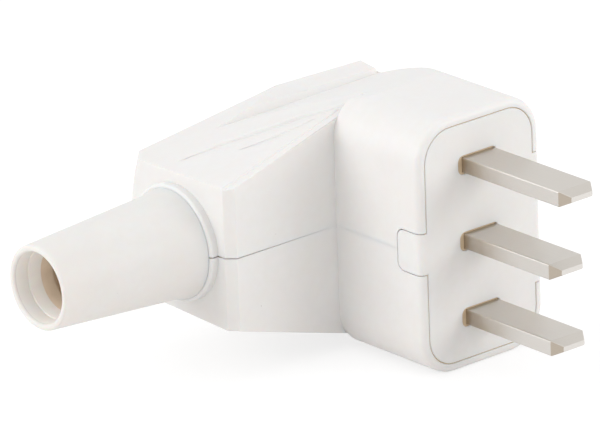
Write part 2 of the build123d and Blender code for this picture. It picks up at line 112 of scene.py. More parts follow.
def moulded_plastic(name, colour, roughness, grain_depth, glow):
    """White thermoplastic from a spark-eroded mould: even and satin, with a faint grain,
    slow changes of tone where the melt flowed, and a rare dark speck. A little light enters it
    and comes out warmer. The brown in narrow seams and slots is painted shade, laid on elsewhere."""
    material, tree, place = new_material(name)
    flow = add_node(tree, "ShaderNodeTexNoise", {"Scale": per_metre(14), "Detail": 2.0}, {"Vector": place})
    mottle = add_node(tree, "ShaderNodeTexNoise", {"Scale": per_metre(1.6), "Detail": 3.0}, {"Vector": place})
    tone = add_node(tree, "ShaderNodeMath", {"operation": "MULTIPLY"}, {0: flow.outputs["Fac"], 1: mottle.outputs["Fac"]})
    tone_range = add_node(
        tree, "ShaderNodeMapRange", {"From Min": 0.12, "From Max": 0.4}, {"Value": tone.outputs[0]}
    )
    body = add_node(
        tree,
        "ShaderNodeMix",
        {"data_type": "RGBA", 6: [c * share for c, share in zip(colour, FLOW_TONE)], 7: colour},
        {0: tone_range.outputs[0]},
    )
    # a speck of about 0.25 mm here and there
    speck = add_node(tree, "ShaderNodeTexVoronoi", {"Scale": per_metre(7)}, {"Vector": place})
    speck_mask = add_node(
        tree,
        "ShaderNodeMapRange",
        {"From Min": 0.016, "From Max": 0.022, "To Min": 0.5, "To Max": 0.0},
        {"Value": speck.outputs["Distance"]},
    )
    specked = add_node(
        tree,
        "ShaderNodeMix",
        {"data_type": "RGBA", 7: linear("#8F8274")},
        {0: speck_mask.outputs[0], 6: body.outputs[2]},
    )
    grain = add_node(tree, "ShaderNodeTexNoise", {"Scale": per_metre(0.35), "Detail": 2.0}, {"Vector": place})
    gloss = add_node(
        tree,
        "ShaderNodeMapRange",
        {"To Min": roughness - 0.05, "To Max": roughness + 0.07},
        {"Value": mottle.outputs["Fac"]},
    )
    bump = add_node(
        tree, "ShaderNodeBump", {"Strength": 1.0, "Distance": grain_depth * MM}, {"Height": grain.outputs["Fac"]}
    )
    shader = add_node(
        tree,
        "ShaderNodeBsdfPrincipled",
        {
            "IOR": 1.53,
            "Specular IOR Level": 0.45,
            "Subsurface Weight": glow,
            "Subsurface Radius": (1.0, 0.55, 0.35),
            "Subsurface Scale": 2.0 * MM,
        },
        {"Base Color": specked.outputs[2], "Roughness": gloss.outputs[0], "Normal": bump.outputs[0]},
    )
    add_node(tree, "ShaderNodeOutputMaterial", {}, {"Surface": shader.outputs[0]})
    return material


def nickel_plated_brass(name, face_colour, side_reflection_colour, corner_shade_colour, root_reflection_colour, roughness):
    """Nickel plate on rolled brass strip: the rolled faces are smooth and grey and the sheared edges rougher.
    The sides are painted lighter as a painted reflection, the coined corners darker as painted shade,
    and near the root the blade is painted brown as a painted dark reflection."""
    material, tree, place = new_material(name)
    axes = add_node(tree, "ShaderNodeSeparateXYZ", {}, {0: place})
    # rolling lines about 0.15 mm apart along the blade
    stretch = add_node(tree, "ShaderNodeMapping", {"Scale": (1.0, 0.04, 1.0)}, {"Vector": place})
    lines = add_node(
        tree, "ShaderNodeTexNoise", {"Scale": per_metre(0.3), "Detail": 3.0}, {"Vector": stretch.outputs[0]}
    )
    patches = add_node(tree, "ShaderNodeTexNoise", {"Scale": per_metre(5), "Detail": 3.0}, {"Vector": place})
    facing = add_node(tree, "ShaderNodeNewGeometry")
    normal = add_node(tree, "ShaderNodeSeparateXYZ", {}, {0: facing.outputs["Normal"]})
    side = add_node(tree, "ShaderNodeMath", {"operation": "ABSOLUTE"}, {0: normal.outputs["X"]})
    ahead = add_node(tree, "ShaderNodeMath", {"operation": "MULTIPLY", 1: -1.0}, {0: normal.outputs["Y"]})
    sheared = add_node(tree, "ShaderNodeMath", {"operation": "MAXIMUM"}, {0: side.outputs[0], 1: ahead.outputs[0]})
    side_mask = add_node(
        tree, "ShaderNodeMapRange", {"From Min": 0.45, "From Max": 0.9}, {"Value": sheared.outputs[0]}
    )
    slant = add_node(tree, "ShaderNodeMath", {"operation": "MINIMUM"}, {0: side.outputs[0], 1: ahead.outputs[0]})
    corner_mask = add_node(
        tree, "ShaderNodeMapRange", {"From Min": 0.35, "From Max": 0.55}, {"Value": slant.outputs[0]}
    )
    # near the root, over the 16 mm next to the face, a brown painted dark reflection
    root = add_node(
        tree,
        "ShaderNodeMapRange",
        {"From Min": -16 * MM, "From Max": -0.5 * MM, "interpolation_type": "SMOOTHSTEP"},
        {"Value": axes.outputs["Y"]},
    )
    root_patchy = add_node(
        tree, "ShaderNodeMath", {"operation": "MULTIPLY"}, {0: root.outputs[0], 1: patches.outputs["Fac"]}
    )
    # the sides are painted lighter: a painted reflection
    plate = add_node(
        tree,
        "ShaderNodeMix",
        {"data_type": "RGBA", 6: linear(face_colour), 7: linear(side_reflection_colour)},
        {0: side_mask.outputs[0]},
    )
    # the coined corners are painted darker: painted shade
    corner_shaded = add_node(
        tree,
        "ShaderNodeMix",
        {"data_type": "RGBA", 7: linear(corner_shade_colour)},
        {0: corner_mask.outputs[0], 6: plate.outputs[2]},
    )
    # the painted dark reflection at the root is weak on the rolled faces and full on the sides
    side_dark_share = add_node(tree, "ShaderNodeMapRange", {"To Min": 0.15, "To Max": 1.3}, {"Value": side_mask.outputs[0]})
    root_dark_share = add_node(
        tree,
        "ShaderNodeMath",
        {"operation": "MULTIPLY", "use_clamp": True},
        {0: root_patchy.outputs[0], 1: side_dark_share.outputs[0]},
    )
    root_darkened = add_node(
        tree,
        "ShaderNodeMix",
        {"data_type": "RGBA", 7: linear(root_reflection_colour)},
        {0: root_dark_share.outputs[0], 6: corner_shaded.outputs[2]},
    )
    gloss_base = add_node(
        tree,
        "ShaderNodeMapRange",
        {"To Min": roughness - 0.06, "To Max": roughness + 0.08},
        {"Value": lines.outputs["Fac"]},
    )
    gloss = add_node(
        tree,
        "ShaderNodeMath",
        {"operation": "MULTIPLY_ADD", 1: 0.15},
        {0: side_mask.outputs[0], 2: gloss_base.outputs[0]},
    )
    bump = add_node(
        tree, "ShaderNodeBump", {"Strength": 0.6, "Distance": 0.012 * MM}, {"Height": lines.outputs["Fac"]}
    )
    shader = add_node(
        tree,
        "ShaderNodeBsdfPrincipled",
        {"Metallic": 1.0},
        {"Base Color": root_darkened.outputs[2], "Roughness": gloss.outputs[0], "Normal": bump.outputs[0]},
    )
    add_node(tree, "ShaderNodeOutputMaterial", {}, {"Surface": shader.outputs[0]})
    return material


def painted_shade_brown(name, colour, roughness):
    """Painted shade for deep slots, seams and bores: dull, and brown in soft patches of about 2 mm."""
    material, tree, place = new_material(name)
    patches = add_node(tree, "ShaderNodeTexNoise", {"Scale": per_metre(2), "Detail": 3.0}, {"Vector": place})
    tone = add_node(
        tree,
        "ShaderNodeMix",
        {"data_type": "RGBA", 6: [c * share for c, share in zip(linear(colour), (0.85, 0.8, 0.75, 1.0))],
         7: linear(colour)},
        {0: patches.outputs["Fac"]},
    )
    shader = add_node(
        tree,
        "ShaderNodeBsdfPrincipled",
        {"IOR": 1.5, "Roughness": roughness},
        {"Base Color": tone.outputs[2]},
    )
    add_node(tree, "ShaderNodeOutputMaterial", {}, {"Surface": shader.outputs[0]})
    return material


def turned_metal(name, colour, stain, roughness, line_mm):
    """Machined metal: fine tool lines, a soft gloss and slight stains."""
    material, tree, place = new_material(name)
    stains = add_node(tree, "ShaderNodeTexNoise", {"Scale": per_metre(3), "Detail": 4.0}, {"Vector": place})
    lines = add_node(tree, "ShaderNodeTexNoise", {"Scale": per_metre(line_mm), "Detail": 2.0}, {"Vector": place})
    share = add_node(tree, "ShaderNodeMapRange", {"From Min": 0.5, "From Max": 0.75}, {"Value": stains.outputs["Fac"]})
    body = add_node(
        tree,
        "ShaderNodeMix",
        {"data_type": "RGBA", 6: linear(colour), 7: linear(stain)},
        {0: share.outputs[0]},
    )
    gloss = add_node(
        tree,
        "ShaderNodeMapRange",
        {"To Min": roughness - 0.07, "To Max": roughness + 0.1},
        {"Value": stains.outputs["Fac"]},
    )
    bump = add_node(
        tree, "ShaderNodeBump", {"Strength": 0.5, "Distance": 0.01 * MM}, {"Height": lines.outputs["Fac"]}
    )
    shader = add_node(
        tree,
        "ShaderNodeBsdfPrincipled",
        {"Metallic": 1.0},
        {"Base Color": body.outputs[2], "Roughness": gloss.outputs[0], "Normal": bump.outputs[0]},
    )
    add_node(tree, "ShaderNodeOutputMaterial", {}, {"Surface": shader.outputs[0]})
    return material


def set_material(piece, material):
    """Give a piece one material only."""
    piece.data.materials.clear()
    piece.data.materials.append(material)


def sharp_edges(solid, narrowest, chosen):
    """The convex edges that see out of a solid and have faces on both sides wide enough to be rounded."""
    tree = BVHTree.FromBMesh(solid)
    found = []
    for edge in solid.edges:
        if len(edge.link_faces) != 2 or edge.calc_face_angle_signed() < math.radians(27):
            continue
        if min(face.calc_area() for face in edge.link_faces) < narrowest * edge.calc_length():
            continue
        middle = (edge.verts[0].co + edge.verts[1].co) / 2
        outward = (edge.link_faces[0].normal + edge.link_faces[1].normal).normalized()
        if chosen(middle) and tree.ray_cast(middle + outward * 0.05 * MM, outward)[0] is None:
            found.append(edge)
    return found


def corner_normals(solid, exact, rounded):
    """Each face corner's normal: the CAD's own on its faces, and one that turns evenly over a rounding."""
    normals = []
    for face in solid.faces:
        for corner in face.loops:
            if not face[rounded]:
                normals.append(corner[exact])
                continue
            around = [other for other in corner.vert.link_loops if other != corner]
            kept = [other[exact] for other in around if not other.face[rounded]]
            kept = [normal for normal in kept if normal.dot(face.normal) > 0.8]
            if kept:
                normals.append(max(kept, key=lambda normal: normal.dot(face.normal)))
            else:
                turned = [other.face.normal for other in around if other.face[rounded]]
                normals.append(sum(turned, face.normal.copy()).normalized())
    return normals


def finished_copy(node, radius, narrowest, chosen=lambda place: True):
    """Copy a CAD node with its doubles merged and its outer edges rounded, and keep its exact normals."""
    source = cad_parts[node].data
    solid = bmesh.new()
    solid.from_mesh(source)
    exact = solid.loops.layers.float_vector.new("exact_normal")
    rounded = solid.faces.layers.int.new("rounded")
    for face in solid.faces:
        for corner in face.loops:
            corner[exact] = source.corner_normals[corner.index].vector
    bmesh.ops.remove_doubles(solid, verts=solid.verts, dist=0.002 * MM)
    bmesh.ops.dissolve_limit(solid, angle_limit=math.radians(0.05), verts=solid.verts, edges=solid.edges)
    made = bmesh.ops.bevel(
        solid,
        geom=sharp_edges(solid, narrowest, chosen),
        offset=radius,
        offset_type="OFFSET",
        segments=4,
        profile=0.5,
        affect="EDGES",
        clamp_overlap=False,
        loop_slide=True,
    )
    for face in made["faces"]:
        face[rounded] = 1
    normals = corner_normals(solid, exact, rounded)
    mesh = bpy.data.meshes.new(node + "_finished")
    solid.to_mesh(mesh)
    solid.free()
    mesh.shade_smooth()
    mesh.normals_split_custom_set(normals)
    piece = bpy.data.objects.new(node + "_finished", mesh)
    bpy.context.scene.collection.objects.link(piece)
    return piece


def turned_piece(name, profile, centre, steps):
    """Turn a closed profile of (x, radius) points round a line along X through the centre."""
    solid = bmesh.new()
    corners = [solid.verts.new((x, centre[1] + radius, centre[2])) for x, radius in profile]
    edges = [solid.edges.new((a, b)) for a, b in zip(corners, corners[1:] + corners[:1])]
    bmesh.ops.spin(
        solid, geom=corners + edges, cent=centre, axis=(1, 0, 0), angle=math.tau, steps=steps, use_duplicate=False
    )
    bmesh.ops.remove_doubles(solid, verts=solid.verts, dist=0.002 * MM)
    bmesh.ops.recalc_face_normals(solid, faces=solid.faces)
    mesh = bpy.data.meshes.new(name)
    solid.to_mesh(mesh)
    solid.free()
    mesh.shade_smooth()
    mesh.set_sharp_from_angle(angle=math.radians(35))
    piece = bpy.data.objects.new(name, mesh)
    bpy.context.scene.collection.objects.link(piece)
    return piece


def rounded_profile(points, segments=5):
    """Replace each corner of a closed (x, radius) profile that has a radius of its own by an arc."""
    outline = []
    for index, (x, r, rounding) in enumerate(points):
        here = Vector((x, r))
        before = Vector(points[index - 1][:2]) - here
        after = Vector(points[(index + 1) % len(points)][:2]) - here
        if not rounding:
            outline.append(tuple(here))
            continue
        half_angle = before.angle(after) / 2
        reach = rounding / math.tan(half_angle)
        start = here + before.normalized() * reach
        end = here + after.normalized() * reach
        centre = here + (before.normalized() + after.normalized()).normalized() * rounding / math.sin(half_angle)
        for step in range(segments + 1):
            share = step / segments
            ray = (start - centre).slerp(end - centre, share)
            outline.append(tuple(centre + ray.normalized() * rounding))
    return outline


def start_tree(name, sizes):
    """Start a tree of geometry nodes whose inputs are named sizes, a place, a turn and a material."""
    tree = bpy.data.node_groups.new(name, "GeometryNodeTree")
    for title in sizes:
        tree.interface.new_socket(title, in_out="INPUT", socket_type="NodeSocketFloat")
    for title in ("Seat", "Turn"):
        tree.interface.new_socket(title, in_out="INPUT", socket_type="NodeSocketVector")
    tree.interface.new_socket("Material", in_out="INPUT", socket_type="NodeSocketMaterial")
    tree.interface.new_socket("Geometry", in_out="OUTPUT", socket_type="NodeSocketGeometry")
    return tree, add_node(tree, "NodeGroupInput").outputs


def close_tree(tree, inputs, parts):
    """Join a tree's parts, place them, keep their sharp edges sharp and give them their material."""
    joined = add_node(tree, "GeometryNodeJoinGeometry")
    for part in parts:
        tree.links.new(part.outputs[0], joined.inputs[0])
    placed = add_node(
        tree,
        "GeometryNodeTransform",
        {},
        {0: joined.outputs[0], "Translation": inputs["Seat"], "Rotation": inputs["Turn"]},
    )
    real = add_node(tree, "GeometryNodeRealizeInstances", {}, {0: placed.outputs[0]})
    angle = add_node(tree, "GeometryNodeInputMeshEdgeAngle")
    soft = add_node(tree, "FunctionNodeCompare", {"operation": "LESS_THAN", 1: math.radians(35)}, {0: angle.outputs[0]})
    faces = add_node(tree, "GeometryNodeSetShadeSmooth", {"domain": "FACE"}, {0: real.outputs[0]})
    edges = add_node(
        tree,
        "GeometryNodeSetShadeSmooth",
        {"domain": "EDGE"},
        {0: faces.outputs[0], "Shade Smooth": soft.outputs[0]},
    )
    dressed = add_node(
        tree, "GeometryNodeSetMaterial", {}, {0: edges.outputs[0], "Material": inputs["Material"]}
    )
    add_node(tree, "NodeGroupOutput", {}, {0: dressed.outputs[0]})


def slotted_screw_tree():
    """A screw along +Z from its seat: a rounded, slotted head below it, and a threaded shank above."""
    sizes = (
        "Shank Radius", "Shank Length", "Head Radius", "Head Height", "Slot Width", "Slot Depth", "Thread Pitch"
    )
    tree, inputs = start_tree("slotted_screw", sizes)
    # the thread's ridge is a diamond, half a pitch high, on the core
    ridge = add_node(tree, "ShaderNodeMath", {"operation": "MULTIPLY", 1: 0.5}, {0: inputs["Thread Pitch"]})
    core_r = add_node(
        tree, "ShaderNodeMath", {"operation": "SUBTRACT"}, {0: inputs["Shank Radius"], 1: ridge.outputs[0]}
    )
    half_length = add_node(tree, "ShaderNodeMath", {"operation": "MULTIPLY", 1: 0.5}, {0: inputs["Shank Length"]})
    core = add_node(
        tree,
        "GeometryNodeMeshCylinder",
        {"Vertices": 32},
        {"Radius": core_r.outputs[0], "Depth": inputs["Shank Length"]},
    )
    core_place = add_node(tree, "ShaderNodeCombineXYZ", {}, {"Z": half_length.outputs[0]})
    shank = add_node(
        tree, "GeometryNodeTransform", {}, {0: core.outputs["Mesh"], "Translation": core_place.outputs[0]}
    )
    # one turn is left plain at each end
    ends = add_node(tree, "ShaderNodeMath", {"operation": "MULTIPLY", 1: 2.0}, {0: inputs["Thread Pitch"]})
    threaded = add_node(
        tree, "ShaderNodeMath", {"operation": "SUBTRACT"}, {0: inputs["Shank Length"], 1: ends.outputs[0]}
    )
    turns = add_node(
        tree, "ShaderNodeMath", {"operation": "DIVIDE"}, {0: threaded.outputs[0], 1: inputs["Thread Pitch"]}
    )
    helix = add_node(
        tree,
        "GeometryNodeCurveSpiral",
        {"Resolution": 24},
        {
            "Rotations": turns.outputs[0],
            "Start Radius": core_r.outputs[0],
            "End Radius": core_r.outputs[0],
            "Height": threaded.outputs[0],
        },
    )
    upright = add_node(tree, "GeometryNodeSetCurveNormal", {"mode": "Z_UP"}, {0: helix.outputs[0]})
    diamond = add_node(tree, "GeometryNodeCurvePrimitiveCircle", {"Resolution": 4}, {"Radius": ridge.outputs[0]})
    swept = add_node(
        tree,
        "GeometryNodeCurveToMesh",
        {"Fill Caps": True},
        {"Curve": upright.outputs[0], "Profile Curve": diamond.outputs[0]},
    )
    thread_place = add_node(tree, "ShaderNodeCombineXYZ", {}, {"Z": inputs["Thread Pitch"]})
    thread = add_node(
        tree, "GeometryNodeTransform", {}, {0: swept.outputs[0], "Translation": thread_place.outputs[0]}
    )
    # the head narrows smoothly over its outer half
    disc = add_node(
        tree,
        "GeometryNodeMeshCylinder",
        {"Vertices": 48, "Side Segments": 8},
        {"Radius": inputs["Head Radius"], "Depth": inputs["Head Height"]},
    )
    spot = add_node(tree, "GeometryNodeInputPosition")
    spot_axes = add_node(tree, "ShaderNodeSeparateXYZ", {}, {0: spot.outputs[0]})
    outer = add_node(tree, "ShaderNodeMath", {"operation": "MULTIPLY", 1: -0.5}, {0: inputs["Head Height"]})
    width = add_node(
        tree,
        "ShaderNodeMapRange",
        {"interpolation_type": "SMOOTHSTEP", "From Max": 0.0, "To Min": 0.84, "To Max": 1.0},
        {"Value": spot_axes.outputs["Z"], "From Min": outer.outputs[0]},
    )
    narrowing = add_node(
        tree, "ShaderNodeCombineXYZ", {"Z": 1.0}, {"X": width.outputs[0], "Y": width.outputs[0]}
    )
    narrowed = add_node(
        tree, "ShaderNodeVectorMath", {"operation": "MULTIPLY"}, {0: spot.outputs[0], 1: narrowing.outputs[0]}
    )
    domed = add_node(
        tree, "GeometryNodeSetPosition", {}, {0: disc.outputs["Mesh"], "Position": narrowed.outputs[0]}
    )
    blade_length = add_node(tree, "ShaderNodeMath", {"operation": "MULTIPLY", 1: 2.4}, {0: inputs["Head Radius"]})
    blade_depth = add_node(tree, "ShaderNodeMath", {"operation": "MULTIPLY", 1: 2.0}, {0: inputs["Slot Depth"]})
    blade_size = add_node(
        tree,
        "ShaderNodeCombineXYZ",
        {},
        {"X": blade_length.outputs[0], "Y": inputs["Slot Width"], "Z": blade_depth.outputs[0]},
    )
    cutter = add_node(tree, "GeometryNodeMeshCube", {}, {"Size": blade_size.outputs[0]})
    cutter_place = add_node(tree, "ShaderNodeCombineXYZ", {}, {"Z": outer.outputs[0]})
    cut = add_node(
        tree, "GeometryNodeTransform", {}, {0: cutter.outputs["Mesh"], "Translation": cutter_place.outputs[0]}
    )
    slotted = add_node(
        tree,
        "GeometryNodeMeshBoolean",
        {"operation": "DIFFERENCE"},
        {"Mesh 1": domed.outputs[0], "Mesh 2": cut.outputs[0]},
    )
    head_place = add_node(tree, "ShaderNodeCombineXYZ", {}, {"Z": outer.outputs[0]})
    head = add_node(
        tree, "GeometryNodeTransform", {}, {0: slotted.outputs[0], "Translation": head_place.outputs[0]}
    )
    close_tree(tree, inputs, (shank, thread, head))
    return tree


def knurled_insert_tree():
    """A bored brass insert along +Z from its seat, with two bands of straight knurls."""
    tree, inputs = start_tree("knurled_insert", ("Outer Radius", "Bore Radius", "Length", "Knurl Height", "Knurls"))
    body_r = add_node(
        tree, "ShaderNodeMath", {"operation": "SUBTRACT"}, {0: inputs["Outer Radius"], 1: inputs["Knurl Height"]}
    )
    body = add_node(
        tree,
        "GeometryNodeMeshCylinder",
        {"Vertices": 48},
        {"Radius": body_r.outputs[0], "Depth": inputs["Length"]},
    )
    longer = add_node(tree, "ShaderNodeMath", {"operation": "MULTIPLY", 1: 1.2}, {0: inputs["Length"]})
    drill = add_node(
        tree,
        "GeometryNodeMeshCylinder",
        {"Vertices": 48},
        {"Radius": inputs["Bore Radius"], "Depth": longer.outputs[0]},
    )
    bored = add_node(
        tree,
        "GeometryNodeMeshBoolean",
        {"operation": "DIFFERENCE"},
        {"Mesh 1": body.outputs["Mesh"], "Mesh 2": drill.outputs["Mesh"]},
    )
    band_length = add_node(tree, "ShaderNodeMath", {"operation": "MULTIPLY", 1: 0.38}, {0: inputs["Length"]})
    knurl = add_node(
        tree,
        "GeometryNodeMeshCylinder",
        {"Vertices": 4},
        {"Radius": inputs["Knurl Height"], "Depth": band_length.outputs[0]},
    )
    ring = add_node(
        tree, "GeometryNodeMeshCircle", {}, {"Vertices": inputs["Knurls"], "Radius": body_r.outputs[0]}
    )
    spot = add_node(tree, "GeometryNodeInputPosition")
    outwards = add_node(tree, "FunctionNodeAlignRotationToVector", {"axis": "X"}, {"Vector": spot.outputs[0]})
    band = add_node(
        tree,
        "GeometryNodeInstanceOnPoints",
        {},
        {"Points": ring.outputs["Mesh"], "Instance": knurl.outputs["Mesh"], "Rotation": outwards.outputs[0]},
    )
    parts = [bored]
    for share in (-0.29, 0.29):
        height = add_node(tree, "ShaderNodeMath", {"operation": "MULTIPLY", 1: share}, {0: inputs["Length"]})
        band_place = add_node(tree, "ShaderNodeCombineXYZ", {}, {"Z": height.outputs[0]})
        parts.append(
            add_node(
                tree, "GeometryNodeTransform", {}, {0: band.outputs[0], "Translation": band_place.outputs[0]}
            )
        )
    close_tree(tree, inputs, parts)
    return tree


def grow(name, tree, values):
    """Run a tree of geometry nodes with its inputs by name, and keep the result as a plain mesh."""
    piece = bpy.data.objects.new(name, bpy.data.meshes.new(name))
    bpy.context.scene.collection.objects.link(piece)
    modifier = piece.modifiers.new("grow", "NODES")
    modifier.node_group = tree
    for socket in tree.interface.items_tree:
        if socket.in_out == "INPUT":
            modifier[socket.identifier] = values[socket.name]
    evaluated = piece.evaluated_get(bpy.context.evaluated_depsgraph_get())
    mesh = bpy.data.meshes.new_from_object(evaluated)
    piece.modifiers.remove(modifier)
    piece.data = mesh
    mesh.name = name
    if not mesh.polygons:
        raise RuntimeError(name + " came out empty")
    return piece


def stand_for(piece, node):
    """Let a finished piece stand for its CAD node: hang it on the root body and hide the node."""
    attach(piece, "root")
    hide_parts(node)
    return piece


class PlugFinish(bpy.types.PropertyGroup):
    """Sizes and colours of the plug's own pieces."""

    plastic_colour: bpy.props.FloatVectorProperty(
        name="Plastic colour", description="Colour of the moulded housing and carrier",
        default=linear("#ECEBEA"), size=4, subtype="COLOR", min=0, max=1,
    )
    sleeve_colour: bpy.props.FloatVectorProperty(
        name="Sleeve colour", description="Colour of the bend sleeve",
        default=linear("#E6E5E3"), size=4, subtype="COLOR", min=0, max=1,
    )
    housing_edge: bpy.props.FloatProperty(
        name="Housing edge radius", description="Rounding of the housing's outer edges",
        default=0.16 * MM, unit="LENGTH", precision=5,
    )
    carrier_edge: bpy.props.FloatProperty(
        name="Carrier edge radius", description="Rounding of the carrier's edges",
        default=0.15 * MM, unit="LENGTH", precision=5,
    )
    slot_mouth: bpy.props.FloatProperty(
        name="Slot mouth depth", description="How deep the wide mouth of a blade's slot is",
        default=0.25 * MM, unit="LENGTH", precision=5,
    )
    sleeve_edge: bpy.props.FloatProperty(
        name="Sleeve edge radius", description="Rounding of the sleeve's edges",
        default=0.6 * MM, unit="LENGTH", precision=5,
    )


class PlugFasteners(bpy.types.PropertyGroup):
    """Sizes of the screws' slots and the inserts' knurls."""

    slot_width: bpy.props.FloatProperty(
        name="Slot width", description="Width of the slot in a screw's head",
        default=0.8 * MM, unit="LENGTH", precision=5,
    )
    slot_depth: bpy.props.FloatProperty(
        name="Slot depth", description="Depth of the slot in a screw's head",
        default=1.1 * MM, unit="LENGTH", precision=5,
    )
    knurl_height: bpy.props.FloatProperty(
        name="Knurl height", description="How far a knurl stands out of an insert",
        default=0.2 * MM, unit="LENGTH", precision=5,
    )
    knurls: bpy.props.IntProperty(name="Knurls", description="Knurls round an insert", default=30, min=8)


class PlugStage(bpy.types.PropertyGroup):
    """Floor, lamps and camera."""

    sky: bpy.props.FloatProperty(
        name="Sky strength", description="Even light from all round", default=0.7, min=0
    )
    top_lamp: bpy.props.FloatProperty(
        name="Top lamp", description="Power of the lamp above", default=0.9, unit="POWER"
    )
    left_lamp: bpy.props.FloatProperty(
        name="Left lamp", description="Power of the lamp behind, on the cord's side", default=2.7, unit="POWER"
    )
    front_lamp: bpy.props.FloatProperty(
        name="Front lamp", description="Power of the lamp in front, on the far side", default=2.8, unit="POWER"
    )


class PLUG_OT_housing(bpy.types.Operator):
    """Finish the two halves of the housing."""

    bl_idname = "plug.housing"
    bl_label = "Finish the housing"

    def execute(self, context):
        finish = context.scene.plug_finish
        white = moulded_plastic("polycarbonate_moulded_white", finish.plastic_colour, 0.42, 0.006, 0.25)
        for node in ("upper_housing", "lower_housing"):
            piece = finished_copy(node, finish.housing_edge, 0.4 * MM, lambda place: abs(place.z) > 1.0 * MM)
            set_material(piece, white)
            stand_for(piece, node)
        return {"FINISHED"}


class PLUG_OT_carrier(bpy.types.Operator):
    """Finish the pin carrier."""

    bl_idname = "plug.carrier"
    bl_label = "Finish the pin carrier"

    def execute(self, context):
        finish = context.scene.plug_finish
        white = moulded_plastic("polycarbonate_carrier_white", finish.plastic_colour, 0.45, 0.007, 0.25)
        piece = finished_copy("pin_carrier", finish.carrier_edge, 0.4 * MM)
        set_material(piece, white)
        # behind a shallow mouth, each slot is closed round its blade by a floor of brown painted shade, and the seam by
        # a band of it
        piece.data.materials.append(painted_shade_brown("polycarbonate_painted_shade_brown", "#D6C2A4", 0.55))
        self.add_slot_floors(piece, finish.slot_mouth)
        self.add_seam_floors(piece, finish.slot_mouth)
        stand_for(piece, "pin_carrier")
        return {"FINISHED"}


    def seam_edges(self, solid, axis, level):
        """The edges of one outer face of the carrier that run along the seam round it, each with its wall."""
        low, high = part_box("pin_carrier")
        slots = [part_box(pin + "_blade") for pin in PINS]
        margin = 1.5 * MM
        found = []
        for edge in solid.edges:
            if len(edge.link_faces) != 2 or any(abs(v.co[axis] - level) > 0.005 * MM for v in edge.verts):
                continue
            wall = min(edge.link_faces, key=lambda face: abs(face.normal[axis]))
            if abs(wall.normal[axis]) > 0.1 or edge.calc_face_angle_signed() < math.radians(60):
                continue
            middle = (edge.verts[0].co + edge.verts[1].co) / 2
            beside = middle + wall.normal * 0.5 * MM
            in_slot = any(
                a.x - margin < middle.x < b.x + margin and a.z - margin < middle.z < b.z + margin for a, b in slots
            )
            in_housing = low.x < beside.x < high.x and beside.y > low.y
            if in_housing and not (axis == 1 and in_slot):
                found.append((edge, wall.normal.copy()))
        return found

    def add_seam_floors(self, piece, depth):
        """Fill the seam round the carrier and its tabs with a band of brown painted shade, a little under its mouth."""
        low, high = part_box("pin_carrier")
        reach, thick = 0.17 * MM, 0.4 * MM
        source = bmesh.new()
        source.from_mesh(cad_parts["pin_carrier"].data)
        bmesh.ops.remove_doubles(source, verts=source.verts, dist=0.002 * MM)
        bmesh.ops.dissolve_limit(source, angle_limit=math.radians(0.05), verts=source.verts, edges=source.edges)
        solid = bmesh.new()
        solid.from_mesh(piece.data)
        for axis, level, inward in ((1, low.y, 1), (0, low.x, 1), (0, high.x, -1)):
            chain = self.seam_edges(source, axis, level)
            outward = {}
            for edge, normal in chain:
                for corner in edge.verts:
                    outward.setdefault(corner, []).append(normal)
            sections = {}
            for corner, normals in outward.items():
                miter = sum(normals, Vector()) / (1 + normals[0].dot(normals[-1])) if len(normals) > 1 else normals[0]
                section = []
                for into, out in ((depth, 0), (depth, reach), (depth + thick, reach), (depth + thick, 0)):
                    spot = corner.co + miter * out
                    spot[axis] += inward * into
                    section.append(solid.verts.new(spot))
                sections[corner] = section
                if len(normals) == 1:
                    solid.faces.new(section).material_index = 1
            for edge, normal in chain:
                first, second = (sections[corner] for corner in edge.verts)
                for index in range(4):
                    after = (index + 1) % 4
                    made = solid.faces.new((first[index], first[after], second[after], second[index]))
                    made.material_index = 1
        bmesh.ops.recalc_face_normals(solid, faces=[face for face in solid.faces if face.material_index == 1])
        solid.to_mesh(piece.data)
        solid.free()
        source.free()

    def add_slot_floors(self, piece, depth):
        """Close each slot with a flat ring of brown painted shade that fits its blade."""
        solid = bmesh.new()
        solid.from_mesh(piece.data)
        face_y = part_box("pin_carrier")[0].y
        thick, clear, overlap = 1.0 * MM, 0.03 * MM, 0.06 * MM
        for pin in PINS:
            low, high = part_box(pin + "_blade")
            rings = []
            for y in (face_y + depth, face_y + depth + thick):
                for left, right, below, above in (
                    (1.1 * MM + overlap, 0.4 * MM + overlap, 0.35 * MM + overlap, 0.35 * MM + overlap),
                    (clear, clear, clear, clear),
                ):
                    rings.append(
                        [
                            solid.verts.new((low.x - left, y, low.z - below)),
                            solid.verts.new((high.x + right, y, low.z - below)),
                            solid.verts.new((high.x + right, y, high.z + above)),
                            solid.verts.new((low.x - left, y, high.z + above)),
                        ]
                    )
            front_out, front_in, back_out, back_in = rings
            for first, second in (
                (front_in, front_out),
                (back_out, back_in),
                (front_out, back_out),
                (back_in, front_in),
            ):
                for index in range(4):
                    after = (index + 1) % 4
                    made = solid.faces.new((first[index], first[after], second[after], second[index]))
                    made.material_index = 1
        solid.to_mesh(piece.data)
        solid.free()


